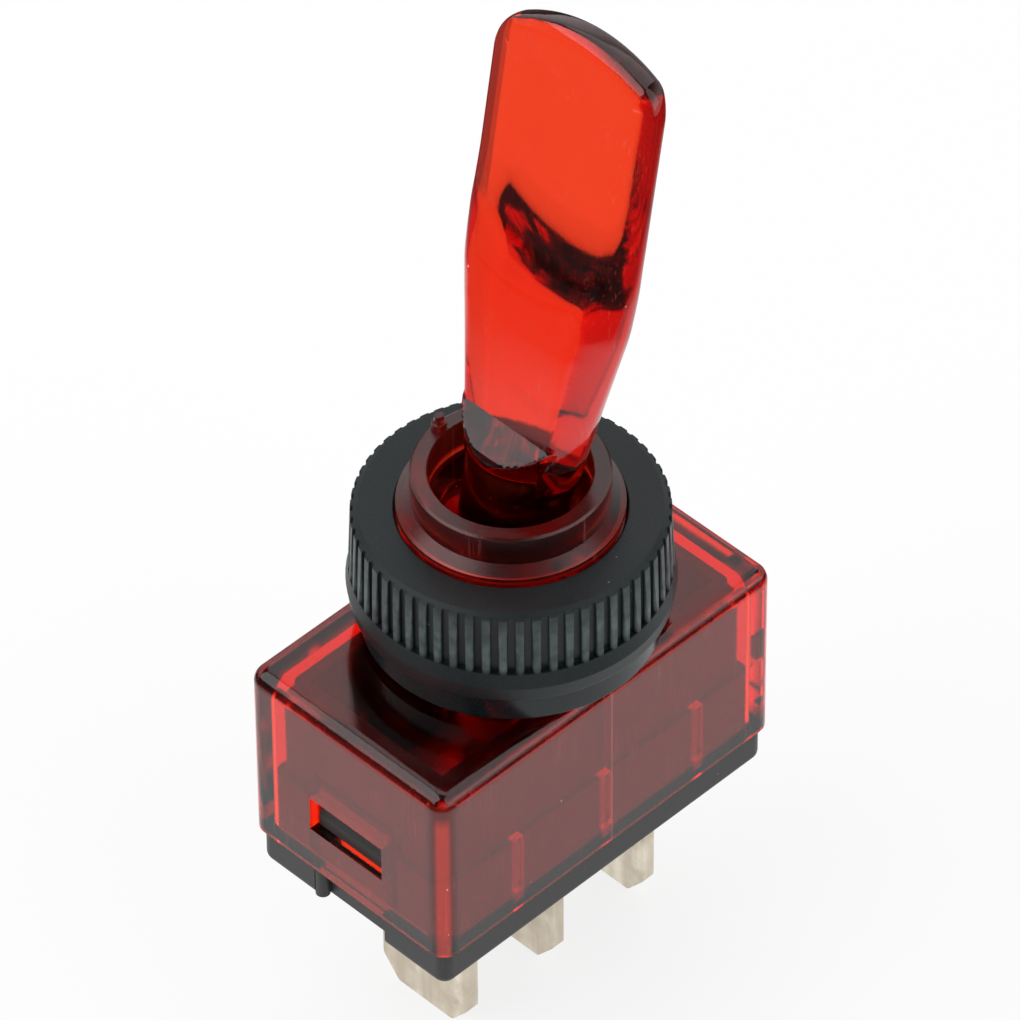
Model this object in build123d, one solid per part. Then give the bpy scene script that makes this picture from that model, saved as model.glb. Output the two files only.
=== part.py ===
from build123d import *
import os
from math import cos, radians, sin, sqrt, tan

# Panel-mounted on-off toggle switch with a clear red paddle lever, a lamp inside and three
# blade terminals. All lengths are in millimetres and all angles in degrees.
#
# Origin: on the bushing's axis, in the cover's flat top, which is the face the panel rests on.
# +Z: up along the bushing. X: the body's long way, in which the lever swings.

# Housing cover
body_length = 24.5
body_width = 14.35
cover_height = 11.55
cover_wall = 1.2
cover_roof = 1.5
cover_corner_radius = 1.0
cover_top_edge_radius = 0.9
cavity_corner_radius = 0.5
key_rib_width = 0.7
key_rib_depth = 0.6
key_rib_end_gap = 0.15
key_rib_clearance = 0.1

# Threaded bushing, moulded in one with the cover
thread_diameter = 11.85
thread_root_diameter = 10.9
last_thread_bottom = 8.2
last_thread_length = 0.35
last_thread_flank = 0.4
thread_run_out = 0.1
thread_relief = 0.4
bushing_height = 10.68
lead_in_diameter = 10.4
bushing_bore_diameter = 8.57
rim_edge = 0.12
rim_bore_edge = 0.05
gate_stub_angle = 94.5
gate_stub_from_axis = 4.8
gate_stub_radius = 0.42
gate_stub_height = 0.4
gate_stub_tip_radius = 0.27
gate_stub_tip_height = 0.45
gate_stub_edge = 0.08

# Lever pivot and throw
pivot_height = 5.5
lever_tilt = 9.7
trunnion_diameter = 2.4
trunnion_reach = 5.0
pivot_clearance = 0.05
slot_end_clearance = 0.12

# Latches that hold the base in the cover
window_width = 5.3
window_height = 2.3
window_top = -6.38
latch_overlap = 0.63
latch_play = 0.12
latch_seat_gap = 0.03
latch_face_height = 0.75
latch_tongue_thickness = 0.9
latch_slit = 0.6
latch_headroom = 0.3

# Base
base_inset = 0.35
base_bottom = -14.05
base_corner_radius = 0.7
base_edge_radius = 0.5
base_floor = -11.0
base_plug_clearance = 0.08
base_wall_thickness = 0.9
base_wall_top = -7.0
base_upper_wall_set_in = 0.35
base_upper_wall_thickness = 0.7
base_wall_roof_gap = 0.25
foot_notch_depth = 0.72
foot_notch_width = 5.2
foot_notch_offset = 0.19
gate_nub_radius = 0.4
gate_nub_offset = 2.6
gate_nub_shortfall = 0.05

# Nut
nut_bottom = 0.5
nut_shoulder_diameter = 15.8
nut_shoulder_height = 1.9
nut_band_diameter = 17.14
nut_band_height = 1.8
nut_band_taper = 0.12
nut_rib_bottom_diameter = 16.84
nut_rib_top_diameter = 16.54
nut_top = 8.12
nut_top_edge_width = 0.4
nut_top_edge_height = 0.25
nut_ribs = 60
nut_rib_radius = 0.24
nut_rib_circle_diameter = 16.4
nut_groove_floor_diameter = 16.24
nut_thread_clearance = 0.05
nut_bore_edge = 0.1

# Lever: heights are counted from the pivot along the lever, thickness along X, width along Y
lever_top = 32.0
crown_radius = 10.0
crown_centre_aside = -0.7
crown_corner_radius = 2.6
crown_bevel_depth = 0.4
crown_bevel_height = 0.33
paddle_edge_half_thickness = 0.38
paddle_half_thickness = 0.78
paddle_set_back = 0.16
paddle_half_width = 5.63
paddle_face_half_width = 4.65
scoop_top = 22.0
scoop_bottom = 16.0
scoop_radius = 14.8
scoop_steps = 6
shoulder_height = 14.6
shoulder_softness = 0.36
shoulder_face_half_width = 3.7
shoulder_half_width = 5.45
shoulder_half_thickness = 2.18
neck_height = 7.3
neck_half_thickness = 1.72
neck_face_half_width = 2.75
neck_half_width = 3.7
stem_radius = 2.95
stem_flat_run_out = 5.1
paddle_root = 4.6
paddle_root_half_thickness = 1.2
paddle_root_face_half_width = 2.2
paddle_root_half_width = 2.9

# Lever's lower arm, which holds the plunger
arm_step = 7.6
arm_tip_radius = 2.3
arm_length = 11.0
arm_tip_edge = 0.3
socket_radius = 1.5
socket_depth = 8.4

# Plunger and its spring
plunger_clearance = 0.05
plunger_tip_radius = 1.3
plunger_tip_distance = 12.35
plunger_length = 4.9
spring_wire_radius = 0.16
spring_coil_radius = 1.22
spring_turns = 6
spring_seat_gap = 0.02

# Rocker contact, which see-saws in the load terminal's ears
rocker_height = -8.6
rocker_tilt = 7.0
rocker_arm_rise = 5.0
rocker_thickness = 0.7
rocker_width = 4.2
rocker_contact_arm = 5.7
rocker_stop_arm = 4.8
rocker_trunnion_radius = 0.5
rocker_trunnion_length = 0.9
rocker_side_clearance = 0.2
rocker_stop_gap = 0.1

# Contact rivets
contact_distance = 4.6
rivet_head_radius = 1.2
rivet_head_thickness = 0.5
rivet_dome = 0.06
rivet_shank_radius = 0.6
rivet_tail_radius = 0.85
rivet_tail_thickness = 0.25

# Blade terminals
blade_width = 6.3
blade_thickness = 0.8
blade_tip = -24.0
blade_tip_chamfer_width = 1.15
blade_tip_chamfer_height = 1.4
blade_tip_edge_radius = 0.35
blade_hole_radius = 0.85
blade_hole_from_tip = 4.2
blade_slot_clearance = 0.04
supply_x = -6.3
load_x = 0.15
earth_blade_end_gap = 4.05
supply_foot_end = -3.2
supply_foot_width = 4.8
load_foot_ends = (-2.4, 3.5)
ear_thickness = 0.8
ear_half_length = 1.6
ear_top = -7.6
ear_top_radius = 1.0
earth_blade_top = -8.9
earth_tongue_width = 2.2

# Lamp, its resistor and their wiring
lamp_from_earth_blade = 0.1
lamp_bottom = -6.8
lamp_flange_radius = 1.9
lamp_flange_height = 1.0
lamp_radius = 1.5
lamp_height = 4.6
lead_radius = 0.25
lead_spacing = 2.54
lead_bend = 0.5
lead_drop = 0.85
resistor_wall_gap = 0.42
resistor_height = -9.3
resistor_radius = 0.9
resistor_length = 3.4
resistor_edge = 0.3
lead_side_reach = 3.9
load_joint = (3.0, -2.85)
series_joint = (2.9, -7.65)
earth_joint_side = -2.6
solder_radius = 0.55

# Values that follow from the ones above
thread_radius = thread_diameter / 2
bore_radius = bushing_bore_diameter / 2
cavity_length = body_length - 2 * cover_wall
cavity_width = body_width - 2 * cover_wall
trunnion_radius = trunnion_diameter / 2
foot_top = base_floor + blade_thickness
plunger_radius = socket_radius - plunger_clearance
plunger_top = plunger_length - plunger_tip_distance
earth_x = cavity_length / 2 - earth_blade_end_gap
blade_positions = (supply_x, load_x, earth_x)
lamp_x = earth_x - lamp_from_earth_blade
resistor_x = cavity_length / 2 - base_plug_clearance - base_wall_thickness - resistor_wall_gap - resistor_radius


def upright_to_rest(shape):
    """Tilt a piece that is drawn upright at the lever's pivot to the lever's photographed throw."""
    return Pos(0, 0, pivot_height) * Rot(0, lever_tilt, 0) * shape


def level_to_rest(shape):
    """Tilt a piece that is drawn level on the rocker's axis to its closed contact position."""
    return Pos(0, 0, rocker_height) * Rot(0, -rocker_tilt, 0) * shape


def block(x_range, y_range, z_range):
    """A plain block between two limits on each axis."""
    size = [high - low for low, high in (x_range, y_range, z_range)]
    centre = [(low + high) / 2 for low, high in (x_range, y_range, z_range)]
    return Pos(*centre) * Box(*size)


def along_y(radius, length):
    """A cylinder on the Y axis, centred on the origin."""
    return Rot(90, 0, 0) * Cylinder(radius, length)


def bushing_profile():
    """Half section of the bushing: threaded length, last thread, lead-in and bore."""
    root_radius = thread_root_diameter / 2
    lead_in_radius = lead_in_diameter / 2
    relief_top = last_thread_bottom - thread_run_out
    relief_bottom = relief_top - thread_relief
    last_thread_top = last_thread_bottom + last_thread_length
    points = [
        (bore_radius, -cover_roof),
        (thread_radius, -cover_roof),
        (thread_radius, relief_bottom - thread_run_out),
        (root_radius, relief_bottom),
        (root_radius, relief_top),
        (thread_radius, last_thread_bottom),
        (thread_radius, last_thread_top),
        (lead_in_radius, last_thread_top + last_thread_flank),
        (lead_in_radius, bushing_height - rim_edge),
        (lead_in_radius - rim_edge, bushing_height),
        (bore_radius + rim_bore_edge, bushing_height),
        (bore_radius, bushing_height - rim_bore_edge),
    ]
    return Plane.XZ * make_face(Polyline(*points, close=True))


def gate_stub():
    """Stub left by the moulding gate on the bushing's rim: a low disc with a thinner broken tip."""
    root = rim_edge
    disc = Pos(0, 0, -root) * Cylinder(
        gate_stub_radius, root + gate_stub_height, align=(Align.CENTER, Align.CENTER, Align.MIN)
    )
    disc = fillet(disc.edges().group_by(Axis.Z)[-1], gate_stub_edge)
    tip = Pos(0, 0, gate_stub_height - gate_stub_edge) * Cylinder(
        gate_stub_tip_radius, gate_stub_tip_height + gate_stub_edge, align=(Align.CENTER, Align.CENTER, Align.MIN)
    )
    tip = fillet(tip.edges().group_by(Axis.Z)[-1], gate_stub_edge)
    return Rot(0, 0, gate_stub_angle) * Pos(gate_stub_from_axis, 0, bushing_height) * (disc + tip)


def trunnion_slots():
    """Upright slots in the bore's wall, open below, in which the lever's trunnions seat."""
    slot_radius = trunnion_radius + pivot_clearance
    reach = trunnion_reach + slot_end_clearance
    channel = block((-slot_radius, slot_radius), (-reach, reach), (-2 * cover_roof, pivot_height))
    seat = Pos(0, 0, pivot_height) * along_y(slot_radius, 2 * reach)
    return channel + seat


def key_ribs():
    """Upright ribs inside both long walls of the cover, which locate the base by its slotted wall."""
    half_width = key_rib_width / 2
    inner = cavity_width / 2
    ribs = []
    for x in blade_positions:
        for side in (-1, 1):
            y_range = sorted((side * (inner - key_rib_depth), side * (inner + cover_wall / 2)))
            z_range = (base_floor + key_rib_end_gap, base_wall_top)
            ribs.append(block((x - half_width, x + half_width), y_range, z_range))
    return ribs


def make_housing_cover():
    outline = RectangleRounded(body_length, body_width, cover_corner_radius)
    shell = Pos(0, 0, -cover_height) * extrude(outline, cover_height)
    shell = fillet(shell.edges().group_by(Axis.Z)[-1], cover_top_edge_radius)
    room = RectangleRounded(cavity_length, cavity_width, cavity_corner_radius)
    cavity = Pos(0, 0, -cover_height) * extrude(room, cover_height - cover_roof)
    bore = Cylinder(bore_radius, 4 * cover_roof)
    cover = shell - cavity - bore + revolve(bushing_profile(), Axis.Z) + key_ribs() + gate_stub()
    cover -= trunnion_slots()
    window = block(
        (-body_length, body_length),
        (-window_width / 2, window_width / 2),
        (window_top - window_height, window_top),
    )
    return cover - window


def latch_tongue_top():
    return window_top - latch_play + latch_overlap


def latch_tongue(end):
    """Springy tongue at one short end of the base, with its hook in the cover's window."""
    outer = cavity_length / 2 - base_plug_clearance
    hook_reach = cavity_length / 2 + latch_overlap
    hook_bottom = window_top - window_height + latch_seat_gap
    hook_top = window_top - latch_play
    profile = [
        (outer - latch_tongue_thickness, base_floor),
        (outer, base_floor),
        (outer, hook_bottom),
        (hook_reach, hook_bottom),
        (hook_reach, hook_bottom + latch_face_height),
        (outer, hook_top),
        (outer - latch_tongue_thickness / 3, latch_tongue_top()),
        (outer - latch_tongue_thickness, latch_tongue_top()),
    ]
    points = [(end * x, z) for x, z in profile]
    width = window_width - 2 * latch_play
    return extrude(Plane.XZ * make_face(Polyline(*points, close=True)), width / 2, both=True)


def wall_ring(outer_length, outer_width, thickness, bottom, top):
    """Rectangular wall with small outer corners, between two heights."""
    ring = RectangleRounded(outer_length, outer_width, cavity_corner_radius)
    ring -= Rectangle(outer_length - 2 * thickness, outer_width - 2 * thickness)
    return Pos(0, 0, bottom) * extrude(ring, top - bottom)


def base_walls():
    """Wall inside the cover: slotted for the cover's key ribs, thinner above, open beside each latch."""
    outer_length = cavity_length - 2 * base_plug_clearance
    outer_width = cavity_width - 2 * base_plug_clearance
    walls = wall_ring(outer_length, outer_width, base_wall_thickness, base_floor, base_wall_top)
    half_slot = key_rib_width / 2 + key_rib_clearance
    for x in blade_positions:
        walls -= block((x - half_slot, x + half_slot), (-body_width, body_width), (base_floor, 0))
    half_opening = window_width / 2 + latch_slit
    walls -= block((-body_length, body_length), (-half_opening, half_opening), (base_floor, 0))
    upper_length = outer_length - 2 * base_upper_wall_set_in
    upper_width = outer_width - 2 * base_upper_wall_set_in
    upper_top = -cover_roof - base_wall_roof_gap
    upper = wall_ring(upper_length, upper_width, base_upper_wall_thickness, base_wall_top, upper_top)
    opening_top = latch_tongue_top() + latch_headroom
    upper -= block((-body_length, body_length), (-half_opening, half_opening), (base_wall_top, opening_top))
    return walls + upper


def make_base():
    foot_length = body_length - 2 * base_inset
    foot_width = body_width - 2 * base_inset
    foot_height = -cover_height - base_bottom
    foot = Pos(0, 0, base_bottom) * extrude(RectangleRounded(foot_length, foot_width, base_corner_radius), foot_height)
    foot = fillet(foot.edges().group_by(Axis.Z)[0], base_edge_radius)
    plug_outline = RectangleRounded(
        cavity_length - 2 * base_plug_clearance,
        cavity_width - 2 * base_plug_clearance,
        cavity_corner_radius,
    )
    plug = Pos(0, 0, -cover_height) * extrude(plug_outline, base_floor + cover_height)
    base = foot + plug
    notch_y = (foot_notch_offset - foot_notch_width / 2, foot_notch_offset + foot_notch_width / 2)
    for end in (-1, 1):
        notch_x = sorted((end * (foot_length / 2 - foot_notch_depth), end * body_length))
        base -= block(notch_x, notch_y, (2 * base_bottom, -cover_height))
    nub_height = foot_height - gate_nub_shortfall
    nub = Cylinder(gate_nub_radius, nub_height, align=(Align.CENTER, Align.CENTER, Align.MAX))
    base += Pos(-foot_length / 2 + gate_nub_radius, gate_nub_offset, -cover_height) * nub
    base += base_walls() + latch_tongue(-1) + latch_tongue(1)
    base += rocker_stop()
    slot_length = blade_width + 2 * blade_slot_clearance
    slot_width = blade_thickness + 2 * blade_slot_clearance
    for x in blade_positions:
        base -= Pos(x, 0, base_bottom) * Box(slot_width, slot_length, -4 * base_bottom)
    tail_pocket = Cylinder(rivet_tail_radius + blade_slot_clearance, 2 * (rivet_tail_thickness + blade_slot_clearance))
    return base - Pos(-contact_distance, 0, base_floor) * tail_pocket


def rocker_stop():
    """Post on the base's floor that the rocker's free arm comes down on when the switch is off."""
    arm_angle = rocker_tilt - rocker_arm_rise
    drop = rocker_stop_arm * sin(radians(arm_angle)) + rocker_thickness / 2 / cos(radians(arm_angle))
    post_top = rocker_height - drop - rocker_stop_gap
    half_width = rocker_width / 2 - rocker_side_clearance
    return block((rocker_stop_arm - 1.0, rocker_stop_arm), (-half_width, half_width), (base_floor, post_top))


def nut_ribbed_part(band_top):
    """Upper part of the nut: rounded upright ribs that taper towards a bevelled top."""
    bottom_radius = nut_rib_bottom_diameter / 2
    top_radius = nut_rib_top_diameter / 2
    profile = [
        (0, band_top),
        (bottom_radius, band_top),
        (top_radius, nut_top - nut_top_edge_height),
        (top_radius - nut_top_edge_width, nut_top),
        (0, nut_top),
    ]
    envelope = revolve(Plane.XZ * make_face(Polyline(*profile, close=True)), Axis.Z)
    spots = PolarLocations(nut_rib_circle_diameter / 2, nut_ribs)
    outline = Circle(nut_groove_floor_diameter / 2) + [spot * Circle(nut_rib_radius) for spot in spots]
    return envelope & Pos(0, 0, band_top) * extrude(outline, nut_top - band_top)


def make_knurled_nut():
    bore = thread_radius + nut_thread_clearance
    shoulder_radius = nut_shoulder_diameter / 2
    shoulder_top = nut_bottom + nut_shoulder_height
    band_top = shoulder_top + nut_band_height
    band_radius = nut_band_diameter / 2
    profile = [
        (0, nut_bottom),
        (shoulder_radius, nut_bottom),
        (shoulder_radius, shoulder_top),
        (band_radius - nut_band_taper, shoulder_top),
        (band_radius, shoulder_top + nut_band_height / 2),
        (nut_rib_bottom_diameter / 2, band_top),
        (0, band_top),
    ]
    nut = revolve(Plane.XZ * make_face(Polyline(*profile, close=True)), Axis.Z) + nut_ribbed_part(band_top)
    bore_profile = [
        (0, nut_bottom),
        (bore + nut_bore_edge, nut_bottom),
        (bore, nut_bottom + nut_bore_edge),
        (bore, nut_top - nut_bore_edge),
        (bore + nut_bore_edge, nut_top),
        (0, nut_top),
    ]
    return nut - revolve(Plane.XZ * make_face(Polyline(*bore_profile, close=True)), Axis.Z)


def lever_section(height, face_half_width, half_thickness, edge_half_width, set_back=0):
    """Eight-sided cross-section of the paddle: flat faces, bevels and thin edges."""
    edge = paddle_edge_half_thickness
    corners = [
        (half_thickness, -face_half_width),
        (half_thickness, face_half_width),
        (edge, edge_half_width),
        (-edge, edge_half_width),
        (-half_thickness, face_half_width),
        (-half_thickness, -face_half_width),
        (-edge, -edge_half_width),
        (edge, -edge_half_width),
    ]
    return Pos(set_back, 0, height) * make_face(Polyline(*corners, close=True))


def scoop_half_thickness(height):
    """Half thickness of the paddle, where its faces sweep from the shoulder into the finger scoop."""
    rise = scoop_radius - sqrt(scoop_radius**2 - (scoop_top - height) ** 2)
    scooped = paddle_half_thickness + rise
    swell = (shoulder_half_thickness - neck_half_thickness) / (scoop_bottom - neck_height)
    straight = neck_half_thickness + swell * (height - neck_height)
    softness = shoulder_softness * (scoop_top - height) / (scoop_top - scoop_bottom)
    return (straight + scooped - sqrt((straight - scooped) ** 2 + softness**2)) / 2


def between(first, last, share):
    """Size that is a share of the way from one size to another."""
    return first + share * (last - first)


def scoop_section(height):
    """Cross-section of the paddle between its shoulder and the top of its scoop."""
    half_thickness = scoop_half_thickness(height)
    if height < scoop_bottom:
        share = (height - neck_height) / (scoop_bottom - neck_height)
        face_half_width = between(neck_face_half_width, shoulder_face_half_width, share)
        return lever_section(
            height, face_half_width, half_thickness, between(neck_half_width, shoulder_half_width, share)
        )
    share = (height - scoop_bottom) / (scoop_top - scoop_bottom)
    face_half_width = between(shoulder_face_half_width, paddle_face_half_width, share)
    half_width = between(shoulder_half_width, paddle_half_width, min(1, 2 * share))
    return lever_section(height, face_half_width, half_thickness, half_width, share * paddle_set_back)


def paddle_blank():
    """Flat paddle whose faces sweep out through a finger scoop into the thick shoulder and stem."""
    step = (scoop_top - shoulder_height) / scoop_steps
    scoop = [scoop_section(shoulder_height + count * step) for count in range(scoop_steps + 1)]
    root = [
        lever_section(paddle_root, paddle_root_face_half_width, paddle_root_half_thickness, paddle_root_half_width),
        lever_section(neck_height, neck_face_half_width, neck_half_thickness, neck_half_width),
        scoop[0],
    ]
    top_sizes = (paddle_face_half_width, paddle_half_thickness, paddle_half_width, paddle_set_back)
    top = [scoop[-1], lever_section(lever_top, *top_sizes)]
    return loft(root, ruled=True) + loft(scoop) + loft(top, ruled=True)


def crown_outline():
    """Front outline of the whole paddle: a crowned top with rounded corners, lower on one side."""
    side = paddle_half_width + crown_corner_radius
    bottom = paddle_root - crown_corner_radius
    crown_centre = lever_top - crown_radius
    disc = Pos(crown_centre_aside, crown_centre) * Circle(crown_radius)
    column = Pos(0, bottom) * Rectangle(2 * paddle_half_width, lever_top, align=(Align.CENTER, Align.MIN))
    outline = disc & column
    lower = Rectangle(2 * side, crown_centre - bottom, align=(Align.CENTER, Align.MIN))
    outline += Pos(0, bottom) * lower
    top_corners = outline.vertices().filter_by(lambda corner: corner.Y > crown_centre + crown_corner_radius)
    return fillet(top_corners, crown_corner_radius)


def crown_trimmer():
    """Solid that holds all of the paddle: its front outline, with a bevel along the crown's front edge."""
    far = 2 * stem_radius
    front = paddle_set_back - paddle_half_thickness
    plate = extrude(Plane.YZ.offset(front) * crown_outline(), far)
    front_face = plate.faces().sort_by(Axis.X)[0]
    crown_edges = front_face.edges().filter_by(lambda edge: edge.center().Z > scoop_top + crown_corner_radius)
    plate = chamfer(crown_edges, length=crown_bevel_height, length2=crown_bevel_depth, reference=front_face)
    side = paddle_half_width + crown_corner_radius
    return plate + block((-far, far), (-side, side), (paddle_root - crown_corner_radius, scoop_top))


def stem_flat_cut(side):
    """Wedge that flattens one face of the stem and runs out down its round surface."""
    far = 2 * stem_radius
    top = stem_height()
    profile = [
        (side * neck_half_thickness, top),
        (side * neck_half_thickness, neck_height),
        (side * stem_radius, stem_flat_run_out),
        (side * far, stem_flat_run_out),
        (side * far, top),
    ]
    return extrude(Plane.XZ * make_face(Polyline(*profile, close=True)), far, both=True)


def stem_height():
    """Height at which the stem ends inside the paddle, half way up from its neck to the shoulder."""
    return (neck_height + shoulder_height) / 2


def make_lever():
    paddle = paddle_blank() & crown_trimmer()
    stem_profile = [
        (0, -arm_length),
        (arm_tip_radius - arm_tip_edge, -arm_length),
        (arm_tip_radius, -arm_length + arm_tip_edge),
        (arm_tip_radius, -arm_step),
        (stem_radius, -arm_step + arm_tip_edge),
        (stem_radius, stem_height()),
        (0, stem_height()),
    ]
    stem = revolve(Plane.XZ * make_face(Polyline(*stem_profile, close=True)), Axis.Z)
    stem -= stem_flat_cut(1) + stem_flat_cut(-1)
    lever = paddle + stem + along_y(trunnion_radius, 2 * trunnion_reach)
    socket = Cylinder(socket_radius, socket_depth, align=(Align.CENTER, Align.CENTER, Align.MIN))
    lever -= Pos(0, 0, -arm_length) * socket
    return upright_to_rest(lever)


def make_plunger():
    """Round plastic plunger with a ball end that rides on the rocker."""
    shank_length = plunger_length
    shank = Cylinder(plunger_radius, shank_length, align=(Align.CENTER, Align.CENTER, Align.MIN))
    shank = chamfer(shank.edges().group_by(Axis.Z)[-1], plunger_clearance * 4)
    tip = Sphere(plunger_tip_radius)
    plunger = Pos(0, 0, -plunger_tip_distance) * (shank + tip)
    return upright_to_rest(plunger)


def make_plunger_spring():
    bottom = plunger_top + spring_wire_radius + spring_seat_gap
    top = socket_depth - arm_length - spring_wire_radius - spring_seat_gap
    height = top - bottom
    coil = Helix(height / spring_turns, height, spring_coil_radius)
    wire = Plane(origin=coil @ 0, z_dir=coil % 0) * Circle(spring_wire_radius)
    spring = sweep(wire, path=coil)
    return upright_to_rest(Pos(0, 0, bottom) * spring)


def rocker_arm_offset(distance):
    """Height of the arm's mid-plane above the rocker's axis, at a distance from the axis."""
    return distance * tan(radians(rocker_arm_rise))


def on_contact_arm(shape):
    """Put a piece on the rocker's contact arm, square to the arm."""
    return Pos(-contact_distance, 0, rocker_arm_offset(contact_distance)) * Rot(0, rocker_arm_rise, 0) * shape


def make_rocker_contact():
    half = rocker_thickness / 2 / cos(radians(rocker_arm_rise))
    profile = [
        (0, half),
        (rocker_stop_arm, rocker_arm_offset(rocker_stop_arm) + half),
        (rocker_stop_arm, rocker_arm_offset(rocker_stop_arm) - half),
        (0, -half),
        (-rocker_contact_arm, rocker_arm_offset(rocker_contact_arm) - half),
        (-rocker_contact_arm, rocker_arm_offset(rocker_contact_arm) + half),
    ]
    strip = extrude(Plane.XZ * make_face(Polyline(*profile, close=True)), rocker_width / 2, both=True)
    trunnions = along_y(rocker_trunnion_radius, rocker_width + 2 * rocker_trunnion_length)
    rocker = strip + (trunnions - Box(2 * rocker_contact_arm, rocker_width, 4 * rocker_thickness))
    hole = on_contact_arm(Cylinder(rivet_shank_radius, 4 * rocker_thickness))
    return level_to_rest(rocker - hole)


def rivet(grip, tail_radius, tail_thickness):
    """Contact rivet, head up, with its head's seat at the origin and its tail closed below the grip."""
    profile = [
        (0, rivet_head_thickness),
        (rivet_head_radius * 0.6, rivet_head_thickness),
        (rivet_head_radius, rivet_head_thickness - rivet_dome),
        (rivet_head_radius, 0),
        (rivet_shank_radius, 0),
        (rivet_shank_radius, -grip),
        (tail_radius, -grip),
        (tail_radius, -grip - tail_thickness),
        (0, -grip - tail_thickness),
    ]
    return revolve(Plane.XZ * make_face(Polyline(*profile, close=True)), Axis.Z)


def make_moving_contact_rivet():
    """Silver rivet whose head is below the rocker's contact arm."""
    turned = Rot(180, 0, 0) * rivet(rocker_thickness, rivet_tail_radius, rivet_tail_thickness)
    return level_to_rest(on_contact_arm(Pos(0, 0, -rocker_thickness / 2) * turned))


def make_fixed_contact_rivet():
    return Pos(-contact_distance, 0, foot_top) * rivet(blade_thickness, rivet_tail_radius, rivet_tail_thickness)


def blade(x, top):
    """Flat blade in the YZ plane with a chamfered tip and its detent hole."""
    half = blade_width / 2
    shoulder = blade_tip + blade_tip_chamfer_height
    flat = half - blade_tip_chamfer_width
    outline = [(-half, top), (-half, shoulder), (-flat, blade_tip), (flat, blade_tip), (half, shoulder), (half, top)]
    face = make_face(Polyline(*outline, close=True))
    tip_corners = face.vertices().filter_by(lambda corner: corner.Y < shoulder + blade_thickness)
    face = fillet(tip_corners, blade_tip_edge_radius)
    face -= Pos(0, blade_tip + blade_hole_from_tip) * Circle(blade_hole_radius)
    return Pos(x, 0, 0) * extrude(Plane.YZ * face, blade_thickness / 2, both=True)


def make_terminal_supply():
    """Blade bent over inside the base into a foot that carries the fixed contact."""
    half_width = supply_foot_width / 2
    foot = block((supply_x - blade_thickness / 2, supply_foot_end), (-half_width, half_width), (base_floor, foot_top))
    hole = Pos(-contact_distance, 0, base_floor) * Cylinder(rivet_shank_radius, 4 * blade_thickness)
    return blade(supply_x, foot_top) + foot - hole


def make_terminal_load():
    """Blade bent into a foot with two upright ears; the rocker's trunnions sit in their notches."""
    foot = block(load_foot_ends, (-blade_width / 2, blade_width / 2), (base_floor, foot_top))
    gap = rocker_width / 2 + rocker_side_clearance
    ear = block((-ear_half_length, ear_half_length), (gap, gap + ear_thickness), (base_floor, ear_top))
    ear = fillet(ear.edges().filter_by(Axis.Y).group_by(Axis.Z)[-1], ear_top_radius)
    ears = ear + mirror(ear, Plane.XZ)
    notch_radius = rocker_trunnion_radius + pivot_clearance
    reach = 2 * (gap + ear_thickness)
    notch = Pos(0, 0, rocker_height) * along_y(notch_radius, reach)
    notch += block((-notch_radius, notch_radius), (-reach / 2, reach / 2), (rocker_height, ear_top + ear_thickness))
    return blade(load_x, foot_top) + foot + (ears - notch)


def make_terminal_earth():
    """Straight blade that ends above the base's floor; the resistor's lead is soldered to it."""
    return blade(earth_x, earth_blade_top)


def make_lamp_body():
    profile_face = Plane.XZ * make_face(
        Polyline(
            (0, 0),
            (lamp_flange_radius, 0),
            (lamp_flange_radius, lamp_flange_height),
            (lamp_radius, lamp_flange_height),
            (lamp_radius, lamp_height - lamp_radius),
            (0, lamp_height - lamp_radius),
            close=True,
        )
    )
    barrel = revolve(profile_face, Axis.Z)
    dome = Pos(0, 0, lamp_height - lamp_radius) * Sphere(lamp_radius)
    return Pos(lamp_x, 0, lamp_bottom) * (barrel + dome)


def wire(points):
    """Round wire along straight runs joined by small bends."""
    path = FilletPolyline(*points, radius=lead_bend)
    return sweep(Plane(origin=path @ 0, z_dir=path % 0) * Circle(lead_radius), path=path)


def make_lamp_lead_load():
    """Lamp lead that runs along the side of the base to the load terminal's foot."""
    x = lamp_x
    side = -lead_side_reach
    bend_height = lamp_bottom - lead_drop
    lying = foot_top + lead_radius
    return wire(
        [
            (x, -lead_spacing / 2, lamp_bottom),
            (x, -lead_spacing / 2, bend_height),
            (x, side, bend_height),
            (x, side, lying),
            (load_joint[0], side, lying),
            (load_joint[0], load_joint[1] + lead_radius, lying),
        ]
    )


def make_lamp_lead_series():
    """Lamp lead that ends over the resistor's lead."""
    x = lamp_x
    y, z = series_joint
    return wire([(x, lead_spacing / 2, lamp_bottom), (x, lead_spacing / 2, z), (x, y, z), (resistor_x, y, z)])


def make_resistor_body():
    x, z = resistor_x, resistor_height
    body = Cylinder(resistor_radius, resistor_length)
    body = fillet(body.edges().filter_by(GeomType.CIRCLE), resistor_edge)
    return Pos(x, 0, z) * Rot(90, 0, 0) * body


def make_resistor_lead_series():
    x, z = resistor_x, resistor_height
    y, joint_height = series_joint
    return wire([(x, resistor_length / 2, z), (x, y, z), (x, y, joint_height - lead_radius)])


def make_resistor_lead_earth():
    x, z = resistor_x, resistor_height
    face = earth_x + blade_thickness / 2
    return wire([(x, -resistor_length / 2, z), (x, earth_joint_side, z), (face, earth_joint_side, z)])


def solder(centre, around):
    """Rounded drop of solder that closes round the pieces that it joins."""
    drop = Pos(*centre) * Sphere(solder_radius)
    for piece in around:
        drop -= piece
    return drop.solids().sort_by(SortBy.VOLUME)[-1]


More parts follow.
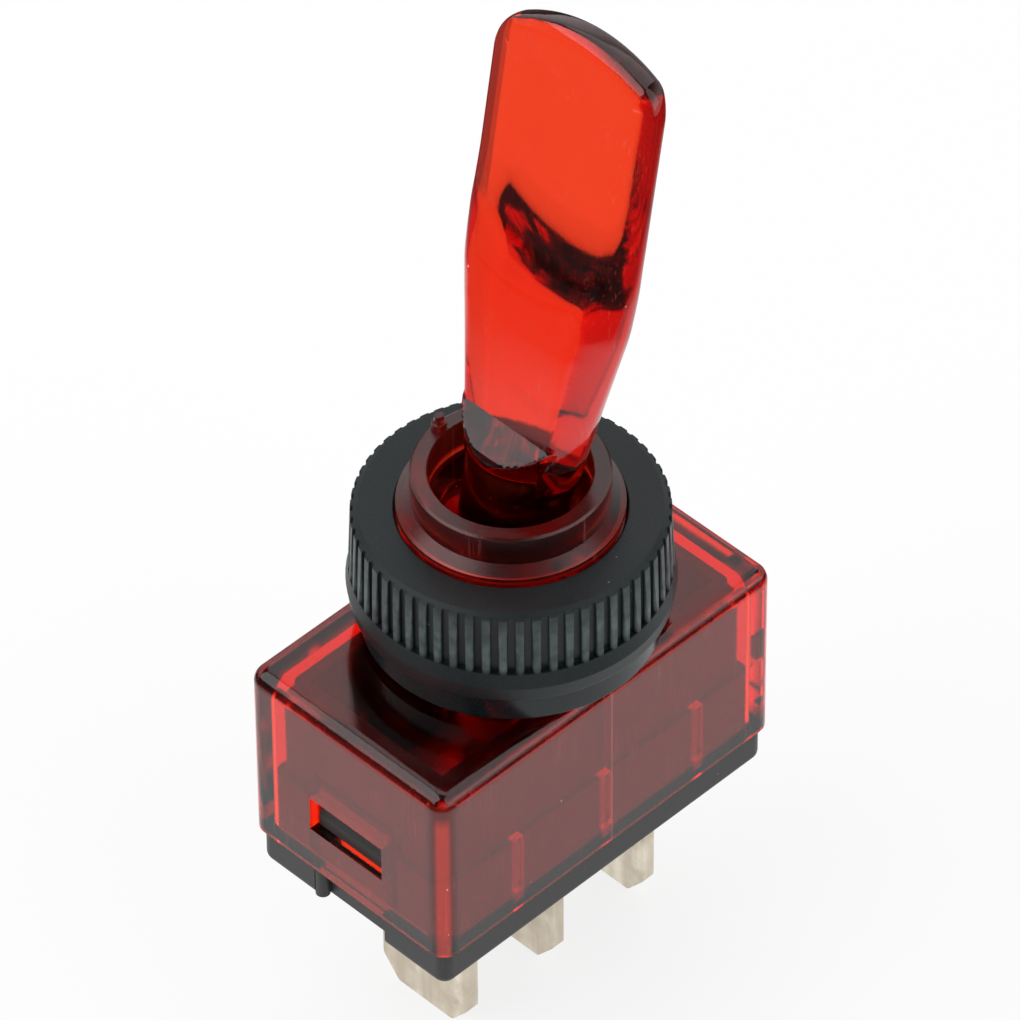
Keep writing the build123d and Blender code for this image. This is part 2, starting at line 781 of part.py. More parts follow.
def build_parts():
    parts = {
        "housing_cover": make_housing_cover(),
        "base": make_base(),
        "knurled_nut": make_knurled_nut(),
        "lever": make_lever(),
        "plunger": make_plunger(),
        "plunger_spring": make_plunger_spring(),
        "rocker_contact": make_rocker_contact(),
        "moving_contact_rivet": make_moving_contact_rivet(),
        "fixed_contact_rivet": make_fixed_contact_rivet(),
        "terminal_supply": make_terminal_supply(),
        "terminal_load": make_terminal_load(),
        "terminal_earth": make_terminal_earth(),
        "lamp_body": make_lamp_body(),
        "lamp_lead_load": make_lamp_lead_load(),
        "lamp_lead_series": make_lamp_lead_series(),
        "resistor_body": make_resistor_body(),
        "resistor_lead_series": make_resistor_lead_series(),
        "resistor_lead_earth": make_resistor_lead_earth(),
    }
    joint_height = foot_top + lead_radius
    parts["solder_load"] = solder((*load_joint, joint_height), [parts["lamp_lead_load"], parts["terminal_load"]])
    parts["solder_series"] = solder(
        (resistor_x, *series_joint),
        [parts["lamp_lead_series"], parts["resistor_lead_series"]],
    )
    earth_face = earth_x + blade_thickness / 2
    parts["solder_earth"] = solder(
        (earth_face + lead_radius, earth_joint_side, resistor_height),
        [parts["resistor_lead_earth"], parts["terminal_earth"]],
    )
    return parts


os.makedirs("parts", exist_ok=True)
for name, shape in build_parts().items():
    export_step(shape, f"parts/{name}.step")
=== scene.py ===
from math import cos, hypot, pi, radians, sin, sqrt

import bmesh
import bpy
from mathutils import Matrix, Vector


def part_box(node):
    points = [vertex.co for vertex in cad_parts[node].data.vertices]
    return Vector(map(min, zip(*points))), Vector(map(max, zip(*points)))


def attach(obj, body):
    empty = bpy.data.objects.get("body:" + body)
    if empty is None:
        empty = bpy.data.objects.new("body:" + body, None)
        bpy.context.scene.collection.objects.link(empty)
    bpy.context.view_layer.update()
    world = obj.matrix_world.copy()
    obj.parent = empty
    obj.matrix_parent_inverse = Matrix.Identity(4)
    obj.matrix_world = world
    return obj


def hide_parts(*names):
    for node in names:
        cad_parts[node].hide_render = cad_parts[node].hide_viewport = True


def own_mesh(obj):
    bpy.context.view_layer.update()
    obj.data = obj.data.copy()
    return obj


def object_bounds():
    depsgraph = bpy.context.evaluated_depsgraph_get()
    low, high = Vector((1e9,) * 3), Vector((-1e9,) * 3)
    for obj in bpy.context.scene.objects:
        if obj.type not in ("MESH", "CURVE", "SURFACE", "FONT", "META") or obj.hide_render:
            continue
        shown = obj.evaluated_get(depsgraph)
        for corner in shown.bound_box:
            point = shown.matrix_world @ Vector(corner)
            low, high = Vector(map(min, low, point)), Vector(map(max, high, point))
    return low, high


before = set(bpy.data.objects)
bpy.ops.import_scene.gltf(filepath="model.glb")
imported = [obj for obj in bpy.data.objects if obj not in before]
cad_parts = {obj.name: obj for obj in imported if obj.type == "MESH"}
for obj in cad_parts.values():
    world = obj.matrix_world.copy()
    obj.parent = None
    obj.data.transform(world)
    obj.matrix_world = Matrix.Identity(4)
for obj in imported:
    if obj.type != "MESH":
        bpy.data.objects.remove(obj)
cad_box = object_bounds()

# Camera: its direction, its distance and the pixel on which the frame's origin shows
image_size = 1020
focal_pixels = 9726
sensor_width = 36.0
camera_azimuth = -44.722
camera_elevation = 44.415
camera_roll = -0.5
camera_distance = 0.503518
camera_near = 0.01
camera_far = 20
origin_pixel = (511.904, 616.637)

# Stage: floor, surroundings and lamps. Rises and turns are parts of a direction of length 1
floor_size = 6.0
floor_colour = (0.93, 0.93, 0.93, 1)
floor_far_colour = (0.1, 0.1, 0.1, 1)
floor_glow = 0.8
floor_roughness = 0.9
floor_near = 0.045
floor_far = 0.075
white = (1, 1, 1, 1)
world_low = 1.0
world_high = 0.3
world_rise = (0.05, 0.55)
reflected_high = 0.1
reflected_rise = (0.36, 0.62)
reflected_turn = (-0.7, -0.2)
lamp_distance = 0.6
lamp_size = 0.6
lamps = (("lamp_left", -120, 45, 2.2), ("lamp_right", 20, 40, 1.2), ("lamp_back", 120, 60, 1.2))
light_bounces = 10

# Sizes that the materials follow, in metres
edge_softness = 0.00008
edge_samples = 4
bushing_blend = 0.0006
seam_half_width = 0.00004
seam_turn = (0.8, 0.9)
thin_edge_turn = (0.5, 0.9)
seam_place = 0.0001
# Painted glow on the cover: where its corners and key ribs are made to glow, and how strongly
glow_corner = 0.0007
glow_softness = 0.0004
glow_top = -0.0012
glow_corner_share = 0.55
glow_rib_share = 0.3
painted_glow_strength = 0.5
rib_places = (-0.0063, 0.00015, 0.0070)
rib_half_width = 0.00035
rib_reach = 0.00115
rib_top = -0.0071
nut_crest_radii = (0.00822, 0.00834)
nut_crest_heights = (0.0042, 0.0046)
nut_shoulder_heights = (0.0023, 0.0025)

# Parts of the noises' values over which an effect comes in
noise_span = (0.3, 0.7)
blotch_span = (0.35, 0.65)
grain_span = (0.6, 0.75)
drawn_span = (0.35, 0.7)
mottle_span = (0.3, 0.6)
speck_core = 0.6

# Clear red plastic: noise scales are in turns a metre, bump heights in metres
clear_index = 1.55
pale_transmission = 0.1
roughness_spread = (0.8, 1.2)
flow_mark_scale = 260
flow_tints = ((0.98, 0.085, 0.022, 1), (0.96, 0.07, 0.018, 1))
# Painted shade: the dark tint that the clear pieces are mixed towards where they are made to look shaded
painted_shade_tint = (0.25, 0.02, 0.012, 1)
pale_tint = (0.8, 0.6, 0.56, 1)
clear_dust = (1100, 0.1, 0.03)
scratch_scale = 9000
scratch_layers = ((30, (0.3, 0.9, 0.2), 0.66), (40, (1.1, -0.4, 0.7), 0.68))
scratch_share = 0.12
scratch_softness = 0.03
scratch_patch_scale = 300
scratch_patch = (0.5, 0.6)
seam_share = 0.25
pale_roughness = 0.8
clear_grain_scale = 9000
clear_grain_height = 0.000004
wave_scale = 180
wave_height = 0.00012
wave_strength = 0.25
painted_glow_colour = (1, 0.06, 0.03, 1)
dye_colour = (0.93, 0.1, 0.05, 1)
dye_density = 250
lever_roughness = 0.075
lever_grain = 0.3
cover_roughness = 0.07
bushing_roughness = 0.24
cover_grain = 0.8
# Painted shade on the cover: how far its bushing's tint is darkened
bushing_painted_shade = 0.6
# Painted shade on the lever: how far its tint is darkened on its thin edges and in a strip up one edge
edge_painted_shade = 0.4
strip_painted_shade = 0.85
strip_run_out = 0.001

# Moulded black plastic
black_specular = 0.32
blotch_scale = 220
black_grain_scale = 14000
black_grain_height = 0.00001
black_grain_strength = 0.5
black_grain_share = 0.4
rub_scale = 1500
rub_shares = (0.2, 0.8)
black_dust = (1900, 0.14, 0.07)
black_dust_share = 0.8
blotch_shade = 0.7
roughness_swing = 0.08
gloss_gain = 0.3
nut_colour = (0.008, 0.014, 0.016, 1)
nut_dust_colour = (0.1, 0.13, 0.13, 1)
nut_roughness = 0.42
base_colour = (0.045, 0.048, 0.046, 1)
base_dust_colour = (0.2, 0.2, 0.19, 1)
base_roughness = 0.5

# Metals: light colour, dark colour, roughness, and how the drawn streaks are stretched
metals = {
    "tinned_blade": ((0.9, 0.83, 0.7, 1), (0.6, 0.52, 0.41, 1), 0.38, (1, 1, 0.12)),
    "contact_brass": ((0.8, 0.6, 0.28, 1), (0.5, 0.34, 0.14, 1), 0.32, (0.12, 1, 1)),
    "contact_silver": ((0.85, 0.85, 0.83, 1), (0.6, 0.6, 0.58, 1), 0.22, (1, 1, 1)),
    "spring_steel": ((0.55, 0.55, 0.56, 1), (0.35, 0.35, 0.36, 1), 0.25, (1, 1, 1)),
    "tinned_wire": ((0.75, 0.75, 0.74, 1), (0.5, 0.5, 0.49, 1), 0.3, (1, 1, 1)),
}
metal_nodes = {
    "tinned_blade": ("terminal_supply", "terminal_load", "terminal_earth"),
    "contact_brass": ("rocker_contact",),
    "contact_silver": ("moving_contact_rivet", "fixed_contact_rivet"),
    "spring_steel": ("plunger_spring",),
    "tinned_wire": ("lamp_lead_load", "lamp_lead_series", "resistor_lead_series", "resistor_lead_earth",
                    "solder_load", "solder_series", "solder_earth"),
}
drawn_scale = 900
mottle_scale = 700
streak_height = 0.000006
streak_strength = 0.6
metal_duller = 0.1
metal_brighter = 0.08

# Nylon, lamp and resistor
nylon_tints = ((0.74, 0.72, 0.64, 1), (0.84, 0.83, 0.78, 1))
nylon_cloud_scale = 1500
nylon_roughness = (0.38, 0.52)
nylon_depth = {"Subsurface_Weight": 0.2, "Subsurface_Scale": 0.0006}
epoxy_tints = ((0.9, 0.1, 0.06, 1), (0.95, 0.2, 0.12, 1))
epoxy_cloud_scale = 1800
epoxy_finish = {"Transmission_Weight": 0.85, "IOR": 1.53, "Roughness": 0.08}
lacquer_tints = ((0.62, 0.44, 0.26, 1), (0.72, 0.55, 0.36, 1))
lacquer_cloud_scale = 2500
lacquer_roughness = 0.4
cloud_height = 0.00001
nylon_bump = 0.4
epoxy_bump = 0.3
lacquer_bump = 0.5
ring_half_width = 0.00013
resistor_rings = (
    (-0.3, (0.35, 0.16, 0.03, 1)), (-0.1, (0.02, 0.02, 0.02, 1)),
    (0.1, (0.5, 0.06, 0.02, 1)), (0.32, (0.6, 0.42, 0.1, 1)),
)

# Lever, which is drawn upright from its pivot. Each pair is a height along it and a value there
pivot_height = 0.0055
lever_tilt = 9.7
crown_radius = 0.010
crown_centre_height = 0.022
crown_centre_aside = -0.0007
crown_corner_radius = 0.0012
crown_bevel_width = 0.0009
paddle_edge_rounding = 0.00025
bevel_power = 1.6
crown_edge_rounding = 0.00008
paddle_set_back = 0.00016
set_back_foot = 0.016
set_back_run = 0.006
paddle_half_widths = (
    (0.0046, 0.0029), (0.0073, 0.0037), (0.016, 0.00545), (0.019, 0.00563), (0.034, 0.00563),
)
paddle_half_thicknesses = (
    (0.0046, 0.0015), (0.0058, 0.00172), (0.0073, 0.00174), (0.0148, 0.00200), (0.0158, 0.00196),
    (0.0168, 0.00175), (0.0178, 0.0014), (0.0189, 0.00111), (0.0200, 0.00092), (0.0211, 0.00081),
    (0.0222, 0.00078), (0.034, 0.00078),
)
paddle_bevel_widths = (
    (0.0046, 0.0003), (0.0073, 0.00095), (0.016, 0.0020), (0.021, 0.0019), (0.034, 0.0019),
)
root_edges = ((0.0046, 0.0), (0.0054, 0.00038), (0.034, 0.00038))
stem_radii = ((-0.011, 0.002), (-0.0107, 0.0023), (-0.0076, 0.0023), (-0.0073, 0.00295), (0.0060, 0.00295),
              (0.0084, 0.0036))
stem_front_flat = ((-0.011, 0.003), (0.0068, 0.003), (0.0084, 0.00172), (0.0085, 0.00172))
stem_back_flat = ((-0.011, 0.003), (0.0046, 0.003), (0.0060, 0.00172), (0.0085, 0.00172))
scoop_foot = 0.0150
scoop_dish = 0.0012
scoop_dish_half_width = 0.0047
paddle_root = 0.0046
neck_height = 0.0084
arm_length = 0.011
socket_radius = 0.0015
socket_top = -0.0026
trunnion_radius = 0.0012
trunnion_reach = 0.005
trunnion_segments = 64
smooth_angle = 32
merge_distance = 0.0000004
lever_points_across = 60
arm_ring_heights = [-0.011, -0.0107, -0.0076, -0.0073]
ring_spans = (
    (-0.0068, 0.0046, 16), (0.0046, 0.0085, 24), (0.0085, 0.0138, 18),
    (0.0138, 0.0228, 60), (0.0228, 0.0290, 20),
)
crown_ring_foot = 0.0290
crown_ring_count = 60
lever_turn_softness = 0.0005
lever_turn_steps = 4
outline_halvings = 40
crown_probe = 0.00005
# Painted shade: where the darkened strip up one edge of the lever begins, across and up
dark_strip_place = 0.0047
dark_strip_foot = 0.0235


def socket_value(tree, socket, value):
    """Set an input, or link it where the value is another node's output."""
    if isinstance(value, bpy.types.NodeSocket):
        tree.links.new(value, socket)
    else:
        socket.default_value = value


def add(tree, kind, inputs=None, **settings):
    """Add a shader node with its settings and inputs."""
    made = tree.nodes.new("ShaderNode" + kind)
    for name, value in settings.items():
        setattr(made, name, value)
    for name, value in (inputs or {}).items():
        socket_value(tree, made.inputs[name], value)
    return made


def object_place(tree):
    """The point in the piece's own rest frame, in metres."""
    return add(tree, "TexCoord").outputs["Object"]


def noise(tree, scale, detail=4, roughness=0.5, place=None):
    """Cloudy value about one half."""
    vector = place or object_place(tree)
    made = add(tree, "TexNoise", {"Vector": vector, "Scale": scale, "Detail": detail, "Roughness": roughness})
    return made.outputs["Fac"]


def stretched(tree, scale, place=None):
    """The rest frame, stretched by a factor along each axis."""
    vector = place or object_place(tree)
    return add(tree, "Mapping", {"Vector": vector, "Scale": scale}).outputs["Vector"]


def spread(tree, value, low, high, low_out=0.0, high_out=1.0):
    """Map a value from one range to another, held at both ends."""
    inputs = {"Value": value, "From Min": low, "From Max": high, "To Min": low_out, "To Max": high_out}
    return add(tree, "MapRange", inputs).outputs["Result"]


def sums(tree, operation, first, second=0.0):
    """A sum on one or two values."""
    made = add(tree, "Math", operation=operation)
    socket_value(tree, made.inputs[0], first)
    socket_value(tree, made.inputs[1], second)
    return made.outputs["Value"]


def mixed(tree, share, first, second):
    """Blend of two colours."""
    return add(tree, "MixRGB", {"Fac": share, "Color1": first, "Color2": second}).outputs["Color"]


def specks(tree, scale, size, share, place=None):
    """Scattered round dots: 1 on a dot, 0 elsewhere. Size is in cells, share is how many cells have one."""
    vector = place or object_place(tree)
    cells = add(tree, "TexVoronoi", {"Vector": vector, "Scale": scale, "Randomness": 1.0})
    pick = add(tree, "SeparateColor", {"Color": cells.outputs["Color"]}).outputs["Red"]
    chosen = sums(tree, "LESS_THAN", pick, share)
    near = spread(tree, cells.outputs["Distance"], speck_core * size, size, 1.0, 0.0)
    return sums(tree, "MULTIPLY", chosen, near)


def bump(tree, height, distance, strength=1.0, normal=None):
    """Normal of a surface raised by height times distance."""
    inputs = {"Height": height, "Distance": distance, "Strength": strength}
    if normal is not None:
        inputs["Normal"] = normal
    return add(tree, "Bump", inputs).outputs["Normal"]


def soft_edges(tree, radius):
    """Normal of a surface whose sharp edges are rounded off."""
    return add(tree, "Bevel", {"Radius": radius}, samples=edge_samples).outputs["Normal"]


def new_material(name, **principled):
    """A material with a Principled shader whose plain values are set on its own sockets."""
    material = bpy.data.materials.new(name)
    material.use_nodes = True
    shader = material.node_tree.nodes["Principled BSDF"]
    for key, value in principled.items():
        shader.inputs[key.replace("_", " ")].default_value = value
    return material, material.node_tree, shader


def dye(material):
    """Give the inside of a clear piece its dye."""
    tree = material.node_tree
    absorb = add(tree, "VolumeAbsorption", {"Color": dye_colour, "Density": dye_density})
    tree.links.new(absorb.outputs["Volume"], tree.nodes["Material Output"].inputs["Volume"])


def parts_of(tree, vector):
    """The three numbers of a vector."""
    return add(tree, "SeparateXYZ", {"Vector": vector}).outputs


def scratches(tree, along, rotation, share):
    """Fine straight scratches: 1 on a scratch, 0 elsewhere. Along is how stretched they are."""
    scale = (scratch_scale, scratch_scale, scratch_scale / along)
    inputs = {"Vector": object_place(tree), "Rotation": rotation, "Scale": scale}
    turned = add(tree, "Mapping", inputs).outputs["Vector"]
    lines = add(tree, "TexNoise", {"Vector": turned, "Scale": 1.0, "Detail": 1}).outputs["Fac"]
    patches = noise(tree, scratch_patch_scale, detail=1)
    here = spread(tree, patches, *scratch_patch)
    return sums(tree, "MULTIPLY", spread(tree, lines, share, share + scratch_softness), here)


def lever_painted_shade(tree):
    """Painted shade: how much darker the lever's tint is made on its thin edges and in a strip up one edge.
    """
    normal = add(tree, "TexCoord").outputs["Normal"]
    sideways = sums(tree, "ABSOLUTE", parts_of(tree, normal)["Y"])
    thin = spread(tree, sideways, *thin_edge_turn, 0.0, edge_painted_shade)
    place = parts_of(tree, object_place(tree))
    strip = spread(tree, place["Y"], dark_strip_place, dark_strip_place + edge_softness, 0.0, strip_painted_shade)
    above = spread(tree, place["Z"], dark_strip_foot, dark_strip_foot + strip_run_out)
    strip = sums(tree, "MULTIPLY", strip, above)
    return sums(tree, "MAXIMUM", thin, strip)


def none(tree):
    """Nothing of an effect, for a piece without it."""
    return 0.0


def cover_painted_shade(tree):
    """Painted shade: how much darker the cover's tint is made on its bushing."""
    return spread(tree, parts_of(tree, object_place(tree))["Z"], 0.0, bushing_blend, 0.0, bushing_painted_shade)


def cover_dulling(tree):
    """How dull the cover's surface is: 1 on its bushing, 0 below it."""
    return spread(tree, parts_of(tree, object_place(tree))["Z"], 0.0, bushing_blend)


def seam(tree):
    """Fine moulding line down the middle of the cover's long sides."""
    away = sums(tree, "ABSOLUTE", sums(tree, "SUBTRACT", parts_of(tree, object_place(tree))["X"], seam_place))
    side = sums(tree, "ABSOLUTE", parts_of(tree, add(tree, "TexCoord").outputs["Normal"])["Y"])
    line = spread(tree, away, seam_half_width, 2 * seam_half_width, 1.0, 0.0)
    return sums(tree, "MULTIPLY", line, spread(tree, side, *seam_turn))


def beyond(tree, value, limit, softness):
    """1 where a distance from the middle is over a limit, 0 below it."""
    return spread(tree, sums(tree, "ABSOLUTE", value), limit, limit + softness)


def painted_cover_glow(tree):
    """Painted glow: where the cover's surface is made to glow, on its upright corners and its key ribs,
    standing in for light carried along the moulding.
    """
    parts = parts_of(tree, object_place(tree))
    low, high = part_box("housing_cover")
    corner = sums(tree, "MULTIPLY", beyond(tree, parts["X"], high.x - glow_corner, glow_softness / 2),
                  beyond(tree, parts["Y"], high.y - glow_corner, glow_softness / 2))
    below = spread(tree, parts["Z"], glow_top - 2 * glow_softness, glow_top, 1.0, 0.0)
    glow = sums(tree, "MULTIPLY", sums(tree, "MULTIPLY", corner, below), glow_corner_share)
    inside = sums(tree, "SUBTRACT", 1.0, beyond(tree, parts["Y"], high.y - rib_reach, glow_softness / 4))
    wall = beyond(tree, parts["Y"], high.y - 2 * rib_reach, glow_softness / 4)
    beside = sums(tree, "MULTIPLY", inside, wall)
    deep = spread(tree, parts["Z"], rib_top, rib_top + glow_softness, 1.0, 0.0)
    for place in rib_places:
        away = sums(tree, "ABSOLUTE", sums(tree, "SUBTRACT", parts["X"], place))
        rib = spread(tree, away, rib_half_width / 2, rib_half_width + glow_softness / 4, glow_rib_share, 0.0)
        rib = sums(tree, "MULTIPLY", rib, sums(tree, "MULTIPLY", beside, deep))
        glow = sums(tree, "MAXIMUM", glow, rib)
    return glow


def clear_red(name, roughness, dull_roughness, grain, painted_shade, dulling, lines, glow):
    """Clear red moulded plastic with faint flow marks, fine scratches and a few dust specks."""
    material, tree, shader = new_material(name, Transmission_Weight=1.0, IOR=clear_index)
    clouds = noise(tree, flow_mark_scale, detail=1)
    dust = specks(tree, *clear_dust)
    first, second = [scratches(tree, *layer) for layer in scratch_layers]
    worn = sums(tree, "MAXIMUM", first, second)
    pale = sums(tree, "MAXIMUM", dust, sums(tree, "MULTIPLY", worn, scratch_share))
    pale = sums(tree, "MAXIMUM", pale, sums(tree, "MULTIPLY", lines(tree), seam_share))
    tint = mixed(tree, clouds, *flow_tints)
    # Painted shade: the tint is darkened towards the dark tint where the piece's shade mask says
    tint = mixed(tree, painted_shade(tree), tint, painted_shade_tint)
    socket_value(tree, shader.inputs["Base Color"], mixed(tree, pale, tint, pale_tint))
    clearness = spread(tree, pale, 0, 1, 1.0, pale_transmission)
    socket_value(tree, shader.inputs["Transmission Weight"], clearness)
    fine = noise(tree, clear_grain_scale, detail=2)
    least, most = roughness_spread
    rough = spread(tree, fine, *noise_span, roughness * least, roughness * most)
    dull = dulling(tree)
    rough = sums(tree, "ADD", rough, sums(tree, "MULTIPLY", dull, dull_roughness - roughness))
    rough = sums(tree, "MAXIMUM", rough, sums(tree, "MULTIPLY", pale, pale_roughness))
    socket_value(tree, shader.inputs["Roughness"], rough)
    waves = noise(tree, wave_scale, detail=1)
    normal = bump(tree, waves, wave_height, wave_strength)
    normal = bump(tree, fine, clear_grain_height, grain, normal)
    socket_value(tree, shader.inputs["Normal"], normal)
    # Painted glow: emission where the piece's glow mask says, standing in for light carried inside the
    # plastic
    shader.inputs["Emission Color"].default_value = painted_glow_colour
    socket_value(tree, shader.inputs["Emission Strength"], sums(tree, "MULTIPLY", glow(tree), painted_glow_strength))
    dye(material)
    material.cycles.emission_sampling = "NONE"
    return material


def moulded_black(name, colour, dust_colour, roughness, worn, gloss):
    """Matt moulded plastic: fine grain, faint blotches, pale dust, rubbed edges and a glossier part."""
    material, tree, shader = new_material(name, Specular_IOR_Level=black_specular)
    blotches = noise(tree, blotch_scale, detail=5)
    fine = noise(tree, black_grain_scale, detail=3, roughness=0.7)
    dark = tuple(blotch_shade * channel for channel in colour[:3]) + (1,)
    body = mixed(tree, spread(tree, blotches, *blotch_span), dark, colour)
    body = mixed(tree, spread(tree, fine, *grain_span, 0.0, black_grain_share), body, dust_colour)
    patchy = spread(tree, noise(tree, rub_scale, detail=4), *noise_span, *rub_shares)
    rubbed = sums(tree, "MULTIPLY", worn(tree), patchy)
    body = mixed(tree, rubbed, body, dust_colour)
    dust = specks(tree, *black_dust)
    body = mixed(tree, sums(tree, "MULTIPLY", dust, black_dust_share), body, dust_colour)
    socket_value(tree, shader.inputs["Base Color"], body)
    rough = spread(tree, blotches, *noise_span, roughness - roughness_swing, roughness + roughness_swing)
    rough = sums(tree, "SUBTRACT", rough, sums(tree, "MULTIPLY", gloss(tree), gloss_gain))
    socket_value(tree, shader.inputs["Roughness"], rough)
    normal = soft_edges(tree, edge_softness)
    normal = bump(tree, fine, black_grain_height, black_grain_strength, normal)
    socket_value(tree, shader.inputs["Normal"], normal)
    return material


def nut_wear(tree):
    """Where the nut is rubbed pale: on the crests of its ribs."""
    parts = parts_of(tree, object_place(tree))
    flat = add(tree, "CombineXYZ", {"X": parts["X"], "Y": parts["Y"]}).outputs["Vector"]
    radius = add(tree, "VectorMath", {"Vector": flat}, operation="LENGTH").outputs["Value"]
    crest = spread(tree, radius, *nut_crest_radii)
    return sums(tree, "MULTIPLY", crest, spread(tree, parts["Z"], *nut_crest_heights))


def nut_gloss(tree):
    """Where the nut is glossier: on its plain shoulder below the band."""
    return spread(tree, parts_of(tree, object_place(tree))["Z"], *nut_shoulder_heights, 1.0, 0.0)


def metal(name, colour, dark, roughness, streak):
    """Stamped and plated metal: drawn streaks, mottled plating, darker in places."""
    material, tree, shader = new_material(name, Metallic=1.0)
    drawn = noise(tree, drawn_scale, detail=6, place=stretched(tree, streak))
    mottle = noise(tree, mottle_scale, detail=5, roughness=0.65)
    share = sums(tree, "MULTIPLY", spread(tree, drawn, *drawn_span), spread(tree, mottle, *mottle_span))
    socket_value(tree, shader.inputs["Base Color"], mixed(tree, share, dark, colour))
    rough = spread(tree, mottle, *noise_span, roughness + metal_duller, roughness - metal_brighter)
    socket_value(tree, shader.inputs["Roughness"], rough)
    normal = soft_edges(tree, edge_softness)
    normal = bump(tree, drawn, streak_height, streak_strength, normal)
    socket_value(tree, shader.inputs["Normal"], normal)
    return material


def nylon():
    """Natural white nylon of the plunger, faintly clouded."""
    material, tree, shader = new_material("nylon", **nylon_depth)
    clouds = noise(tree, nylon_cloud_scale, detail=4)
    body = mixed(tree, spread(tree, clouds, *noise_span), *nylon_tints)
    socket_value(tree, shader.inputs["Base Color"], body)
    socket_value(tree, shader.inputs["Roughness"], spread(tree, clouds, *noise_span, *nylon_roughness))
    socket_value(tree, shader.inputs["Normal"], bump(tree, clouds, cloud_height, nylon_bump))
    return material


def lamp_epoxy():
    """Clear red epoxy of the lamp, with faint strain clouds."""
    material, tree, shader = new_material("lamp_epoxy", **epoxy_finish)
    clouds = noise(tree, epoxy_cloud_scale, detail=3)
    socket_value(tree, shader.inputs["Base Color"], mixed(tree, clouds, *epoxy_tints))
    socket_value(tree, shader.inputs["Normal"], bump(tree, clouds, cloud_height, epoxy_bump))
    return material


def resistor_lacquer():
    """Tan lacquer with four painted rings across the resistor's length."""
    material, tree, shader = new_material("resistor_lacquer", Roughness=lacquer_roughness)
    low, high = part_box("resistor_body")
    middle = (low.y + high.y) / 2
    length = high.y - low.y
    along = parts_of(tree, object_place(tree))["Y"]
    clouds = noise(tree, lacquer_cloud_scale, detail=3)
    body = mixed(tree, clouds, *lacquer_tints)
    for share, colour in resistor_rings:
        distance = sums(tree, "ABSOLUTE", sums(tree, "SUBTRACT", along, middle + share * length))
        inside = spread(tree, distance, ring_half_width, 1.2 * ring_half_width, 1.0, 0.0)
        body = mixed(tree, inside, body, colour)
    socket_value(tree, shader.inputs["Base Color"], body)
    socket_value(tree, shader.inputs["Normal"], bump(tree, clouds, cloud_height, lacquer_bump))
    return material


def follow(points, place):
    """Value at a place on a line through pairs of place and value."""
    if place <= points[0][0]:
        return points[0][1]
    for (first, low), (last, high) in zip(points, points[1:]):
        if place <= last:
            return low + (high - low) * (place - first) / (last - first)
    return points[-1][1]


def softly(points, place):
    """The same with its turns rounded off."""
    steps = range(-lever_turn_steps, lever_turn_steps + 1)
    offsets = [lever_turn_softness * step / lever_turn_steps for step in steps]
    return sum(follow(points, place + offset) for offset in offsets) / len(offsets)


def outline_depth(y, height):
    """Distance in from the paddle's outline: crowned top with rounded corners, tapering sides."""
    side = abs(y) - softly(paddle_half_widths, height) + crown_corner_radius
    top = -1.0
    if height > crown_centre_height:
        top = hypot(y - crown_centre_aside, height - crown_centre_height) - crown_radius + crown_corner_radius
    return crown_corner_radius - hypot(max(side, 0), max(top, 0)) - min(0, max(side, top))


def outline_limit(height, side):
    """Where the outline crosses a height, on one side: found by halving."""
    near = crown_centre_aside
    far = side * (crown_centre_height - paddle_root)
    for _ in range(outline_halvings):
        middle = (near + far) / 2
        if outline_depth(middle, height) > 0:
            near = middle
        else:
            far = middle
    return near


def crown_share(y, height):
    """1 along the crown, 0 along the sides, between them round the corners."""
    rise = outline_depth(y, height - crown_probe) - outline_depth(y, height + crown_probe)
    return min(max(rise / (2 * crown_probe), 0), 1) ** 2


def rounding(share):
    """Quarter round, from 0 at the rim to 1 inside."""
    return sqrt(1 - (1 - min(share, 1)) ** 2)


def paddle_thickness(y, height, back):
    """Half thickness of the paddle's front or back at a point of its face."""
    depth = max(outline_depth(y, height), 0)
    crown = crown_share(y, height)
    bevel = (1 - crown) * softly(paddle_bevel_widths, height) + crown * crown_bevel_width
    edge = follow(root_edges, height)
    dished = height - scoop_dish * (y / scoop_dish_half_width) ** 2
    full = softly(paddle_half_thicknesses, max(dished, min(height, scoop_foot)))
    if back:
        edge = (1 - crown) * edge + crown * full
    round_off = (1 - crown) * paddle_edge_rounding + crown * crown_edge_rounding
    swell = 1 - (1 - min(depth / bevel, 1)) ** bevel_power
    return edge * rounding(depth / round_off) + (full - edge) * swell


def stem_thickness(y, height, flat):
    """Half thickness of the round stem, on a side whose flat runs out below the neck."""
    radius = follow(stem_radii, height)
    return min(sqrt(max(radius**2 - y**2, 0)), follow(flat, height))


def lever_ring(height):
    """Points round the lever at one height: its front from one side to the other, then its back."""
    low, high = 0, 0
    if height > paddle_root:
        low, high = outline_limit(height, -1), outline_limit(height, 1)
    if height < neck_height:
        radius = follow(stem_radii, height)
        low, high = min(low, -radius), max(high, radius)
    set_back = paddle_set_back * min(max((height - set_back_foot) / set_back_run, 0), 1)
    front, back = [], []
    for step in range(lever_points_across + 1):
        y = (low + high) / 2 - (high - low) / 2 * cos(pi * step / lever_points_across)
        thick = [0, 0]
        if height > paddle_root:
            thick = [paddle_thickness(y, height, False), paddle_thickness(y, height, True)]
        if height < neck_height:
            flats = (stem_front_flat, stem_back_flat)
            thick = [max(value, stem_thickness(y, height, flat)) for value, flat in zip(thick, flats)]
        front.append((set_back - thick[0], y, height))
        back.append((set_back + thick[1], y, height))
    return front + back[::-1]


